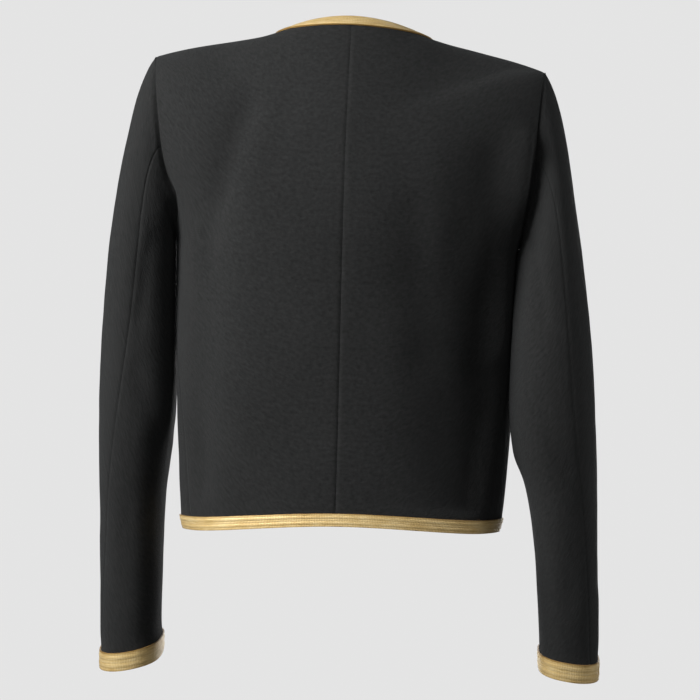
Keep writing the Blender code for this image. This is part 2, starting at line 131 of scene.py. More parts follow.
Ring = namedtuple("Ring", "height outer_left inner_left middle_left outer_right inner_right"
                          " middle_right half_depth back_seam_left back_seam_right")
SLEEVE = (
    Ring(-0.215, 0.2430, 0.1748, -0.018, 0.2345, 0.1718, 0.020, 0.0700, 95, 72),
    Ring(-0.290, 0.2484, 0.1728, -0.030, 0.2440, 0.1690, 0.030, 0.0665, 84, 68),
    Ring(-0.380, 0.2499, 0.1742, -0.036, 0.2510, 0.1700, 0.028, 0.0625, 67, 62),
    Ring(-0.450, 0.2484, 0.1826, -0.046, 0.2550, 0.1874, 0.014, 0.0580, 55, 58),
    Ring(-0.550, 0.2455, 0.1844, -0.058, 0.2595, 0.1984, -0.002, 0.0520, 38, 52),
    Ring(-0.622, 0.2448, 0.1848, -0.067, 0.2602, 0.2030, -0.014, 0.0495, 29, 46),
)
SLEEVE_TOP = -0.215
SLEEVE_SECOND = -0.250
SLEEVE_SLOPE_START = -0.590
SLEEVE_FRONT_SEAM = 234
SLEEVE_BACK_SEAM_AT_ARMHOLE = 90
SLEEVE_SQUARENESS = 2.6
CUFF_HEIGHT = {"left": -0.6220, "right": -0.6145}
CUFF_SLOPE = {"left": 0.0095, "right": 0.0060}
CUFF_LOW_SIDE = 50

Head = namedtuple("Head", "outward back up leave arrive")
HEAD_TOP = Head(1.00, 0.00, -0.35, 0.020, 0.068)
HEAD_BACK = Head(0.85, 0.15, -0.50, 0.020, 0.050)
HEAD_UNDER = Head(0.20, 0.00, 1.00, 0.006, 0.012)
HEAD_FRONT = Head(0.85, -0.15, -0.50, 0.020, 0.050)

Fold = namedtuple("Fold", "start_x start_z end_x end_z depth half_width")
BACK_FOLDS = (
    Fold(0.113, -0.080, 0.136, -0.155, 0.0035, 0.020),
    Fold(-0.136, -0.120, -0.120, -0.190, 0.0035, 0.020),
    Fold(-0.066, -0.175, -0.062, -0.245, 0.0025, 0.022),
)

SIDES = {"left": 1, "right": -1}
# Guards against dividing by a length of nothing
SHORTEST = 1e-12

# How finely the shells are drawn
SHOULDER_ROWS = 26
ARMHOLE_STEP = 3
ARMHOLE_TOP_ROW = 1 + SHOULDER_ROWS
ARMHOLE_ROWS = 180 // ARMHOLE_STEP
SIDE_ROWS = 66
PANEL_COLUMNS = 52
FRONT_STRIP_COLUMNS = 4
# Steps that a row's length is first measured in
MEASURING_STEPS = 12
SLEEVE_HEAD_ROWS = 26
# A power above 1 brings the head's rows together at the armhole
SLEEVE_HEAD_ROW_POWER = 1.5
SLEEVE_ROW_HEIGHT = 0.0038
CUFF_ROWS = 5
SMOOTHING_ROUNDS = 40
SMOOTHING_STRENGTH = 0.5
EDGE_WAY_ROUNDS = 3
BRAID_STEP = 0.0011
# Distances from a seam of the extra columns that shape its rolled edge
SEAM_COLUMNS = (0.0, 0.0006, 0.0014, 0.0024, 0.0036, 0.0052)
# Columns' widths that a sleeve's even columns keep from those extra ones
COLUMN_CLEARANCE = 0.3
# Edges of the mesh that turn more than this stay sharp
SHARP_ANGLE = math.radians(42)

# How the cloth rolls in at its seams: depth at the seam and how far the roll reaches
Roll = namedtuple("Roll", "depth reach")
PANEL_ROLL = Roll(0.0011, 0.0042)
ARMHOLE_ROLL = Roll(0.0009, 0.0036)
SLEEVE_SEAM_ROLL = Roll(0.0007, 0.0034)
SLEEVE_HEAD_ROLL = Roll(0.0048, 0.0078)
# Share of the sleeve head's roll left over the shoulder, and the angle round at which it is whole
ROLL_AT_TOP = 0.04
ROLL_GROWS_TO = 48
# Share of that roll at the armhole's very edge, and the length of cloth in which it is whole
ROLL_AT_EDGE = 0.25
EDGE_ROLL_LENGTH = 0.0006
# Length of cloth under the armhole in which the roll of a sleeve's own seams sets in
SEAM_ROLL_LENGTH = 0.004

# Creases and waves fade out over these widths of cloth: towards the armhole, the side seam, the
# centre line, the neck or hem, the sleeve head and the cuff. The side seam's sets in over some rows
ARMHOLE_FADE = 0.012
SIDE_FADE = 0.034
SIDE_FADE_ROWS = 8
CENTRE_FADE = 0.020
END_FADE = 0.012
SLEEVE_HEAD_FADE = 0.025
CUFF_FADE = 0.015

# Gentle unevenness of worn wool: height and length of the waves
SWAY_HEIGHT = 0.0009
SWAY_LENGTH = 0.075
RIPPLE_HEIGHT = 0.00030
RIPPLE_LENGTH = 0.022

# Creases given one by one. Across is metres of cloth from the centre line, height is metres, and a
# positive depth is a trough. The backs' follow the photograph, and the hidden fronts' are a guess.
Crease = namedtuple("Crease", "start_across start_height end_across end_height depth half_width")
PANEL_CREASES = {
    "back_left": (
        Crease(0.138, -0.230, 0.152, -0.430, 0.0044, 0.0260),
        Crease(0.056, -0.062, 0.078, -0.128, 0.0014, 0.0160),
        Crease(0.104, -0.068, 0.141, -0.195, 0.0050, 0.0165),
        Crease(0.083, -0.100, 0.096, -0.205, -0.0014, 0.0190),
        Crease(0.156, -0.175, 0.144, -0.226, 0.0019, 0.0110),
        Crease(0.045, -0.360, 0.062, -0.430, 0.0010, 0.0260),
        Crease(0.105, -0.390, 0.115, -0.450, -0.0010, 0.0200),
    ),
    "back_right": (
        Crease(0.148, -0.240, 0.152, -0.440, 0.0070, 0.0420),
        Crease(0.088, -0.105, 0.094, -0.215, -0.0016, 0.0200),
        Crease(0.074, -0.165, 0.080, -0.310, 0.0020, 0.0190),
        Crease(0.148, -0.115, 0.146, -0.310, 0.0036, 0.0160),
        Crease(0.094, -0.230, 0.101, -0.420, 0.0040, 0.0340),
        Crease(0.186, -0.095, 0.180, -0.290, -0.0080, 0.0170),
        Crease(0.040, -0.400, 0.048, -0.450, 0.0008, 0.0220),
    ),
    "front_left": (
        Crease(0.148, -0.135, 0.112, -0.190, 0.0028, 0.0130),
        Crease(0.160, -0.175, 0.118, -0.248, 0.0022, 0.0120),
        Crease(0.095, -0.235, 0.105, -0.360, 0.0018, 0.0240),
        Crease(0.190, -0.245, 0.178, -0.370, 0.0024, 0.0200),
        Crease(0.050, -0.300, 0.043, -0.420, -0.0012, 0.0220),
    ),
    "front_right": (
        Crease(0.144, -0.126, 0.116, -0.175, 0.0022, 0.0120),
        Crease(0.162, -0.182, 0.126, -0.235, 0.0027, 0.0130),
        Crease(0.086, -0.260, 0.092, -0.390, 0.0016, 0.0230),
        Crease(0.185, -0.265, 0.192, -0.400, 0.0026, 0.0210),
        Crease(0.048, -0.270, 0.056, -0.350, -0.0010, 0.0200),
    ),
}

# Creases of the sleeves: angle round the arm from its outer side over the back, and height
SleeveCrease = namedtuple("SleeveCrease",
                          "start_angle start_height end_angle end_height depth half_width")
SLEEVE_CREASES = {
    "left": (
        SleeveCrease(118, -0.195, 100, -0.275, 0.0016, 0.0110),
        SleeveCrease(142, -0.130, 140, -0.370, -0.0052, 0.0240),
        SleeveCrease(60, -0.220, 48, -0.340, 0.0012, 0.0170),
        SleeveCrease(275, -0.315, 215, -0.335, 0.0030, 0.0085),
        SleeveCrease(290, -0.348, 228, -0.356, 0.0036, 0.0080),
        SleeveCrease(268, -0.378, 205, -0.388, 0.0024, 0.0090),
        SleeveCrease(100, -0.330, 132, -0.390, 0.0016, 0.0120),
        SleeveCrease(95, -0.460, 78, -0.560, 0.0011, 0.0150),
        SleeveCrease(330, -0.430, 300, -0.530, 0.0016, 0.0150),
        SleeveCrease(20, -0.500, 35, -0.590, -0.0009, 0.0140),
        SleeveCrease(285, -0.160, 262, -0.235, 0.0026, 0.0110),
    ),
    "right": (
        SleeveCrease(125, -0.190, 108, -0.260, 0.0026, 0.0110),
        SleeveCrease(48, -0.240, 60, -0.330, 0.0010, 0.0160),
        SleeveCrease(178, -0.185, 176, -0.395, -0.0046, 0.0200),
        SleeveCrease(282, -0.305, 222, -0.318, 0.0027, 0.0090),
        SleeveCrease(272, -0.337, 208, -0.348, 0.0035, 0.0080),
        SleeveCrease(295, -0.368, 236, -0.376, 0.0026, 0.0085),
        SleeveCrease(110, -0.350, 80, -0.410, 0.0014, 0.0130),
        SleeveCrease(65, -0.450, 88, -0.540, 0.0012, 0.0150),
        SleeveCrease(318, -0.450, 296, -0.550, 0.0014, 0.0140),
        SleeveCrease(25, -0.420, 15, -0.520, 0.0010, 0.0160),
        SleeveCrease(292, -0.150, 268, -0.230, 0.0022, 0.0120),
    ),
}

# Cords of the braid: middle as a share of its width, half width as a share, and height
Cord = namedtuple("Cord", "middle half_width height")
BRAID_CORDS = (
    Cord(0.080, 0.100, 0.0018),
    Cord(0.290, 0.150, 0.0021),
    Cord(0.510, 0.110, 0.0019),
    Cord(0.720, 0.140, 0.0021),
    Cord(0.920, 0.090, 0.0018),
)
BRAID_FLOOR = 0.0014
BRAID_ACROSS = 34
TWIST_HEIGHT = 0.00005
TWIST_LENGTH = 0.0046
TWIST_SLANT = 2.6

# Cut sizes of the cloth pieces: width, length and area of the flat cut
Cut = namedtuple("Cut", "width length area")


def mix(a, b, share):
    """The value at a share of the way from one to another."""
    return a + (b - a) * share


def ease(share):
    """A share from 0 to 1 that starts and stops gently."""
    return share * share * (3 - 2 * share)


def along(table, key, column, value):
    """Value of a table's column on a smooth curve through its rows."""
    rows = sorted((getattr(row, key), getattr(row, column)) for row in table)
    keys = [row[0] for row in rows]
    values = [row[1] for row in rows]
    value = min(max(value, keys[0]), keys[-1])
    last = len(keys) - 1
    low = min(bisect.bisect_right(keys, value) - 1, last - 1)

    def slope(n):
        before, after = max(n - 1, 0), min(n + 1, last)
        return (values[after] - values[before]) / (keys[after] - keys[before])

    width = keys[low + 1] - keys[low]
    t = (value - keys[low]) / width
    start = (2 * t ** 3 - 3 * t ** 2 + 1) * values[low]
    start += (t ** 3 - 2 * t ** 2 + t) * width * slope(low)
    end = (3 * t ** 2 - 2 * t ** 3) * values[low + 1]
    end += (t ** 3 - t ** 2) * width * slope(low + 1)
    return start + end


def oval(turned, squareness):
    """Point of a unit superellipse: sideways and forward share after a turn from its centre line."""
    across, forward = math.sin(turned), math.cos(turned)
    reach = (abs(across) ** squareness + abs(forward) ** squareness) ** (-1 / squareness)
    return across * reach, forward * reach


def body_point(height, turned):
    """Point of the body's level section below the armholes, turned from centre back."""
    back = along(CENTRE_BACK, "height", "depth", height)
    front = along(CENTRE_FRONT, "height", "depth", height)
    across, forward = oval(turned, SQUARENESS)
    half_width = along(BODY, "height", "half_width", height)
    return Vector((half_width * across, (back + front) / 2 + (back - front) / 2 * forward, height))


UNDERARM = body_point(UNDERARM_HEIGHT, math.pi / 2)


def armhole_point(angle, side):
    """Point of the armhole seam: 0 is the underarm, 90 the back, -90 the front, 180 the top."""
    turned = math.radians(angle)
    rise = (1 - math.cos(turned)) / 2
    reach = ARMHOLE_BACK_REACH if angle > 0 else ARMHOLE_FRONT_REACH
    column = "front" if angle <= 0 else "back_left" if side > 0 else "back_right"
    return Vector((
        along(ARMHOLE, "angle", column, abs(angle)),
        mix(UNDERARM.y, SHOULDER_POINT.y, rise) + reach * math.sin(turned),
        mix(UNDERARM.z, SHOULDER_POINT.z, rise)))


def turned_at_armhole(face, edge, centre_height, angle):
    """How far a row has turned at the armhole: as the body's oval has, and less towards the top."""
    middle = UNDERARM.y
    share = (edge.y - middle) / (along(face.line, "height", "depth", centre_height) - middle)
    across = (1 - max(share, 0) ** SQUARENESS) ** (1 / SQUARENESS)
    top = math.radians(SHOULDER_TURNS[-1].turned)
    return mix(math.atan2(across, share), top, ease(max(angle - 90, 0) / 90))


Row = namedtuple("Row", "centre_height edge turned ridge flatness")


def shoulder_point(share):
    """Point of the shoulder line from the neck out. Its outer end rounds down over the arm."""
    point = NECK_SIDE + (SHOULDER_POINT - NECK_SIDE) * share
    point.z += SHOULDER_ROUND * (share - share ** SHOULDER_ROUND_POWER)
    return point


def face_rows(face, side):
    """Rows of a panel from the neck to the hem: shoulder, then armhole, then side seam."""
    rows = []
    strip = BRAID_WIDTH / (SHOULDER_POINT - NECK_SIDE).length
    flatness = BACK_FLATNESS if face is BACK else 0
    rows.append(Row(face.neck, NECK_SIDE, math.pi / 2, 1, 0))
    rows.append(Row(face.strip, shoulder_point(strip), math.pi / 2, 1, flatness * strip))
    for n in range(1, SHOULDER_ROWS + 1):
        share = mix(strip, 1, n / SHOULDER_ROWS)
        height = mix(face.strip, face.shoulder, n / SHOULDER_ROWS)
        turned = math.radians(along(SHOULDER_TURNS, "share", "turned", share))
        rows.append(Row(height, shoulder_point(share), turned, 1, flatness * share))
    for angle in range(180 - ARMHOLE_STEP, -1, -ARMHOLE_STEP):
        drop = (1 + math.cos(math.radians(angle))) / 2
        height = mix(face.shoulder, face.underarm, drop)
        edge = armhole_point(face.sign * angle, side)
        ridge = max(-math.cos(math.radians(angle)), 0) ** 2
        turned = turned_at_armhole(face, edge, height, angle)
        rows.append(Row(height, edge, turned, ridge, flatness * (1 - ease(drop))))
    strip_share = 1 - BRAID_WIDTH / (UNDERARM_HEIGHT - HEM_HEIGHT)
    shares = [strip_share * step / SIDE_ROWS for step in range(1, SIDE_ROWS + 1)] + [1.0]
    for share in shares:
        height = mix(UNDERARM_HEIGHT, HEM_HEIGHT, share)
        seam = math.radians(along(BODY, "height", "seam", height))
        turned = seam if face.sign > 0 else math.pi - seam
        centre_height = mix(face.underarm, face.hem, share)
        rows.append(Row(centre_height, body_point(height, seam), turned, 0, 0))
    return rows


def trough(x, z, crease):
    """Depth of one crease or fold at a point, highest along its line and soft all round."""
    start_x, start_z, end_x, end_z, depth, half_width = crease
    run_x, run_z = end_x - start_x, end_z - start_z
    share = ((x - start_x) * run_x + (z - start_z) * run_z) / (run_x ** 2 + run_z ** 2)
    share = min(max(share, 0), 1)
    away_x, away_z = x - start_x - run_x * share, z - start_z - run_z * share
    return depth * math.exp(-(away_x ** 2 + away_z ** 2) / half_width ** 2)


def lean(point):
    """The upright, even garment moved to the way it is worn."""
    worn = min(max((point.z - HEM_HEIGHT) / (SHOULDER_POINT.z - HEM_HEIGHT), 0), 1)
    slide = SHOULDER_SLIDE * max(abs(point.x) - NECK_SIDE.x, 0) * worn ** 2
    tilt = mix(HEM_TILT, SHOULDER_TILT, worn)
    return Vector((point.x + slide, point.y, point.z + point.x * math.tan(tilt)))


def row_point(face, side, row, turned):
    """Outer point of a panel on one of its rows, after turning from the centre line."""
    edge_gap = SEAM_GAP / 2 if face is BACK else FRONT_GAP / 2
    shoulder = SHOULDER_POINT - NECK_SIDE
    across_edge, forward_edge = oval(row.turned, SQUARENESS)
    centre_depth = along(face.line, "height", "depth", row.centre_height)
    across, forward = oval(turned, SQUARENESS)
    x = mix(edge_gap, row.edge.x, across / across_edge)
    bulged = (1 - forward) / (1 - forward_edge)
    flat = (across / across_edge) ** FLAT_POWER
    y = mix(centre_depth, row.edge.y, mix(bulged, flat, row.flatness))
    z = mix(row.centre_height, row.edge.z, ease(turned / row.turned))
    z += row.ridge * shoulder.z / shoulder.x * (x - row.edge.x) * (turned / row.turned) ** RIDGE_POWER
    if face is BACK:
        fade = ease(min(1, (1 - turned / row.turned) / FOLD_FADE))
        y -= sum(trough(side * x, z, fold) for fold in BACK_FOLDS) * fade
    return lean(Vector((side * x, y, z)))


def row_turns(face, side, row):
    """Turns of a row's columns: close together at the seams and even between them."""
    coarse = [row_point(face, side, row, row.turned * n / MEASURING_STEPS)
              for n in range(MEASURING_STEPS + 1)]
    length = sum((b - a).length for a, b in zip(coarse, coarse[1:]))
    near = [distance / length for distance in SEAM_COLUMNS]
    if face is BACK:
        shares = list(near)
    else:
        first = BRAID_WIDTH * oval(row.turned, SQUARENESS)[0] / row.edge.x / row.turned
        shares = [first * n / FRONT_STRIP_COLUMNS for n in range(FRONT_STRIP_COLUMNS + 1)]
    start, end = shares[-1], 1 - near[-1]
    shares += [mix(start, end, n / PANEL_COLUMNS) for n in range(1, PANEL_COLUMNS)]
    shares += [1 - share for share in reversed(near)]
    return [row.turned * share for share in shares]


def panel_grid(face, side):
    """Outer points of a panel: rows from neck to hem, columns from the centre line outwards."""
    grid = [[row_point(face, side, row, turned) for turned in row_turns(face, side, row)]
            for row in face_rows(face, side)]
    return np.array(grid)


def smoothed(grid, closed=False):
    """The grid with its kinks ironed out. Its edges, and the strips under the braid, stay in place."""
    grid = grid.copy()
    for _ in range(SMOOTHING_ROUNDS):
        down = (grid[:-2] + grid[2:]) / 2
        middle = grid[1:-1]
        across = (np.roll(middle, 1, axis=1) + np.roll(middle, -1, axis=1)) / 2
        change = (down + across) / 2 - middle
        if not closed:
            change[:, (0, -1)] = 0
        grid[2:-2] += change[1:-1] * SMOOTHING_STRENGTH
    return grid


def unit(vectors):
    """The vectors at a length of 1."""
    return vectors / np.maximum(np.linalg.norm(vectors, axis=-1, keepdims=True), SHORTEST)


def normals(grid, side, closed=False):
    """Outward directions at a grid's points. Rows run down, columns away from the centre line."""
    down = np.gradient(grid, axis=0)
    if closed:
        across = np.roll(grid, -1, axis=1) - np.roll(grid, 1, axis=1)
    else:
        across = np.gradient(grid, axis=1)
    return unit(np.cross(across, down)) * side


def run_lengths(grid, axis):
    """Length of cloth along rows (axis 1) or down columns (axis 0) up to each point."""
    steps = np.linalg.norm(np.diff(grid, axis=axis), axis=-1)
    first = np.zeros_like(np.take(steps, [0], axis=axis))
    return np.cumsum(np.concatenate([first, steps], axis=axis), axis=axis)


def rolled(distance, roll):
    """How far the cloth has sunk towards a seam, at a distance from it."""
    near = np.clip(1 - distance / roll.reach, 0, 1)
    return roll.depth * near ** 2


def sway(grid):
    """Gentle waves of the cloth, the same on both pieces at a seam."""
    heights = np.zeros(grid.shape[:2])
    for r, row in enumerate(grid):
        for c, (x, y, z) in enumerate(row):
            point = Vector((x, y, z))
            long_waves = noise.noise(point / SWAY_LENGTH)
            ripples = noise.noise(point / RIPPLE_LENGTH)
            heights[r, c] = SWAY_HEIGHT * long_waves + RIPPLE_HEIGHT * ripples
    return heights


def new_material(name, constants):
    """A material and its shader, with these constants set on the shader's inputs."""
    made = bpy.data.materials.new(name)
    made.use_nodes = True
    shader = made.node_tree.nodes["Principled BSDF"]
    for socket_name, value in constants.items():
        shader.inputs[socket_name].default_value = value
    return made, shader


def math_node(tree, operation, first, second=None, third=None):
    """A Math node with each input set from a socket or a number."""
    node = tree.nodes.new("ShaderNodeMath")
    node.operation = operation
    for socket, value in zip(node.inputs, (first, second, third)):
        if value is None:
            continue
        if isinstance(value, (int, float)):
            socket.default_value = value
        else:
            tree.links.new(value, socket)
    return node.outputs[0]


def noise_node(tree, vector, scale, detail, roughness):
    """Soft noise at a place of the map."""
    node = tree.nodes.new("ShaderNodeTexNoise")
    node.inputs["Scale"].default_value = scale
    node.inputs["Detail"].default_value = detail
    node.inputs["Roughness"].default_value = roughness
    tree.links.new(vector, node.inputs["Vector"])
    return node.outputs["Fac"]


def stretched_noise(tree, place, scale, detail, roughness):
    """Noise over a map that is scaled first, so that its spots are longer one way."""
    node = tree.nodes.new("ShaderNodeMapping")
    node.inputs["Scale"].default_value = (*scale, 1.0)
    tree.links.new(place, node.inputs["Vector"])
    return noise_node(tree, node.outputs["Vector"], 1.0, detail, roughness)


def ramp_node(tree, factor, stops):
    """Colour between the stops of a ramp, each a place and a colour."""
    node = tree.nodes.new("ShaderNodeValToRGB")
    ramp = node.color_ramp
    while len(ramp.elements) < len(stops):
        ramp.elements.new(0.5)
    for element, (position, colour) in zip(ramp.elements, stops):
        element.position = position
        element.color = (*colour, 1.0)
    tree.links.new(factor, node.inputs["Fac"])
    return node.outputs["Color"]


def bump_node(tree, height, bump, after=None):
    """A bumped direction, on top of an earlier one if there is one."""
    node = tree.nodes.new("ShaderNodeBump")
    node.inputs["Strength"].default_value = bump.strength
    node.inputs["Distance"].default_value = bump.distance
    tree.links.new(height, node.inputs["Height"])
    if after is not None:
        tree.links.new(after, node.inputs["Normal"])
    return node.outputs["Normal"]


def cloth_map(tree):
    """The place on the map, whole and as its two measures."""
    place = tree.nodes.new("ShaderNodeTexCoord").outputs["UV"]
    split = tree.nodes.new("ShaderNodeSeparateXYZ")
    tree.links.new(place, split.inputs[0])
    return place, split.outputs[0], split.outputs[1]


Bump = namedtuple("Bump", "strength distance")

# Wool: its colours, its grain's sizes in metres, and how much each kind of grain changes the tone
WOOL_STOPS = ((0.34, (0.0100, 0.0104, 0.0103)), (0.88, (0.0310, 0.0316, 0.0313)))
THREAD_PITCH = 0.00085
SLUB_SIZE = (0.0066, 0.0040)
PEBBLE_SIZE = (0.0036, 0.0034)
CLOUDS_PER_METRE = 9.0
SLUB_TONE = 0.55
PEBBLE_TONE = 0.45
CLOUD_TONE = 0.25
THREAD_TONE = 0.05
GRAIN_BUMP = Bump(0.60, 0.00060)
THREAD_BUMP = Bump(0.45, 0.00012)


def wool_material():
    """Matt black wool crepe: fine crossed threads, a pebbled grain and slightly uneven dye."""
    made, shader = new_material("wool_crepe", {
        "Roughness": 0.92,
        "Specular IOR Level": 0.18,
        "Sheen Weight": 0.06,
        "Sheen Roughness": 0.55,
        "Sheen Tint": (0.75, 0.78, 0.80, 1.0),
    })
    tree = made.node_tree
    place, across, down = cloth_map(tree)
    turn = 2 * math.pi / THREAD_PITCH
    warp = math_node(tree, "SINE", math_node(tree, "MULTIPLY", across, turn))
    weft = math_node(tree, "SINE", math_node(tree, "MULTIPLY", down, turn))
    crossed = math_node(tree, "MULTIPLY", warp, weft)
    slub = stretched_noise(tree, place, [1 / size for size in SLUB_SIZE], 3.0, 0.6)
    pebble = stretched_noise(tree, place, [1 / size for size in PEBBLE_SIZE], 2.0, 0.55)
    cloud = noise_node(tree, place, CLOUDS_PER_METRE, 2.0, 0.5)
    tone = math_node(tree, "MULTIPLY", pebble, PEBBLE_TONE)
    for grain, share in ((slub, SLUB_TONE), (cloud, CLOUD_TONE), (crossed, THREAD_TONE)):
        tone = math_node(tree, "MULTIPLY_ADD", grain, share, tone)
    tree.links.new(ramp_node(tree, tone, WOOL_STOPS), shader.inputs["Base Color"])
    grain = bump_node(tree, math_node(tree, "ADD", slub, pebble), GRAIN_BUMP)
    tree.links.new(bump_node(tree, crossed, THREAD_BUMP, grain), shader.inputs["Normal"])
    return made


# Gold braid: its colours, its strands, how often streaks and patches come along and across it,
# and how much each changes the tone. Both long edges of the braid carry a painted shade line, by a
# high power of the share of its width
GOLD_STOPS = (
    (0.22, (0.400, 0.228, 0.058)),
    (0.47, (0.800, 0.560, 0.222)),
    (0.74, (1.000, 0.810, 0.450)),
)
STRAND_PITCH = 0.0016
STRAND_SLANT = 0.22
STREAK_SCALE = (90.0, 26.0)
PATCH_SCALE = (38.0, 1.6)
STREAK_TONE = 0.62
PATCH_TONE = 0.42
STRAND_TONE = 0.055
# Painted shade in the grooves between the cords
GROOVE_SHADE = -0.03
# Painted shade along the braid's long edges: strongest beside the cloth, weaker at the folded edge
CLOTH_SIDE_POWER = 22.0
CLOTH_SIDE_SHADE = -0.50
FOLD_SIDE_POWER = 18.0
FOLD_SIDE_SHADE = -0.20
STRAND_BUMP = Bump(0.5, 0.00014)
STREAK_BUMP = Bump(0.4, 0.00020)


def braid_material():
    """Metallic gold braid: satin strands slanting along each cord, with painted shade in the grooves
    and along both long edges.
    """
    made, shader = new_material("gold_braid", {
        "Metallic": 0.25,
        "Roughness": 0.46,
        "Sheen Weight": 0.08,
    })
    tree = made.node_tree
    place, along_braid, across_braid = cloth_map(tree)
    cord_turn = math_node(tree, "MULTIPLY", across_braid, float(len(BRAID_CORDS)))
    zigzag = math_node(tree, "PINGPONG", cord_turn, 1.0)
    straight = math_node(tree, "MULTIPLY", along_braid, 2 * math.pi / STRAND_PITCH)
    slanted = math_node(tree, "MULTIPLY_ADD", zigzag, STRAND_SLANT * 2 * math.pi, straight)
    strands = math_node(tree, "SINE", slanted)
    # Painted shade in the grooves between the cords
    groove_shade = math_node(tree, "COSINE", math_node(tree, "MULTIPLY", cord_turn, 2 * math.pi))
    streak = stretched_noise(tree, place, STREAK_SCALE, 3.0, 0.6)
    patch = stretched_noise(tree, place, PATCH_SCALE, 2.0, 0.5)
    # Painted shade at both long edges of the braid
    cloth_side_shade = math_node(tree, "POWER", across_braid, CLOTH_SIDE_POWER)
    from_cloth = math_node(tree, "SUBTRACT", 1.0, across_braid)
    fold_side_shade = math_node(tree, "POWER", from_cloth, FOLD_SIDE_POWER)
    tone = math_node(tree, "MULTIPLY", patch, PATCH_TONE)
    for change, share in ((streak, STREAK_TONE), (strands, STRAND_TONE), (groove_shade, GROOVE_SHADE),
                          (cloth_side_shade, CLOTH_SIDE_SHADE), (fold_side_shade, FOLD_SIDE_SHADE)):
        tone = math_node(tree, "MULTIPLY_ADD", change, share, tone)
    tree.links.new(ramp_node(tree, tone, GOLD_STOPS), shader.inputs["Base Color"])
    thread = bump_node(tree, strands, STRAND_BUMP)
    tree.links.new(bump_node(tree, streak, STREAK_BUMP, thread), shader.inputs["Normal"])
    return made


def add_object(name, data):
    """An object placed in the scene."""
    placed = bpy.data.objects.new(name, data)
    bpy.context.scene.collection.objects.link(placed)
    return placed


def add_piece(name, vertices, faces, corners_uv, made):
    """A mesh object with its UV map and material, riding on the part and standing for its node."""
    mesh = bpy.data.meshes.new(name + "_shell")
    mesh.from_pydata([tuple(v) for v in vertices], [], faces)
    layer = mesh.uv_layers.new(name="UVMap")
    layer.data.foreach_set("uv", np.array(corners_uv, dtype=np.float32).ravel())
    mesh.shade_smooth()
    mesh.set_sharp_from_angle(angle=SHARP_ANGLE)
    mesh.materials.append(made)
    piece = add_object(name + "_shell", mesh)
    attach(piece, "root")
    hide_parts(name)
    return piece


def add_wall(name, outer, ways, side, made):
    """A closed wall of cloth behind an outer grid, with a map in metres on both faces."""
    rows, columns = outer.shape[:2]
    inner = outer - ways * WALL
    vertices = np.concatenate([outer.reshape(-1, 3), inner.reshape(-1, 3)])
    flat = np.stack([run_lengths(outer, 1), run_lengths(outer, 0)], axis=-1).reshape(-1, 2)
    flat = np.concatenate([flat, flat])
    shift = rows * columns
    faces = []
    for r in range(rows - 1):
        for c in range(columns - 1):
            a = r * columns + c
            face = (a, a + columns, a + columns + 1, a + 1)
            faces.append(face)
            faces.append(tuple(shift + n for n in reversed(face)))
    rim = list(range(columns))
    rim += [r * columns + columns - 1 for r in range(1, rows)]
    rim += [(rows - 1) * columns + c for c in range(columns - 2, -1, -1)]
    rim += [r * columns for r in range(rows - 2, 0, -1)]
    for n, a in enumerate(rim):
        b = rim[(n + 1) % len(rim)]
        faces.append((a, b, shift + b, shift + a))
    if side > 0:
        faces = [tuple(reversed(face)) for face in faces]
    corners = [flat[n] for face in faces for n in face]
    shell = add_piece(name, vertices, faces, corners, made)


def braid_profile():
    """Heights over the cloth at even shares of the braid's width."""
    heights = []
    for n in range(BRAID_ACROSS + 1):
        share = n / BRAID_ACROSS
        height = BRAID_FLOOR
        for cord in BRAID_CORDS:
            off = (share - cord.middle) / cord.half_width
            if abs(off) < 1:
                height = max(height, mix(BRAID_FLOOR, cord.height, math.sqrt(1 - off * off)))
        heights.append(height)
    return heights


def even_line(points, ways, closed):
    """A line of points and directions drawn again at even steps."""
    if closed:
        points = np.concatenate([points, points[:1]])
        ways = np.concatenate([ways, ways[:1]])
    steps = np.linalg.norm(np.diff(points[:, 1], axis=0), axis=1)
    lengths = np.concatenate([[0], np.cumsum(steps)])
    stations = np.linspace(0, lengths[-1], int(lengths[-1] / BRAID_STEP) + 1)
    if closed:
        stations = stations[:-1]

    def drawn_again(pairs):
        columns = pairs.reshape(len(pairs), -1).T
        drawn = np.stack([np.interp(stations, lengths, column) for column in columns], axis=1)
        return drawn.reshape(-1, 2, 3)

    return drawn_again(points), unit(drawn_again(ways)), stations


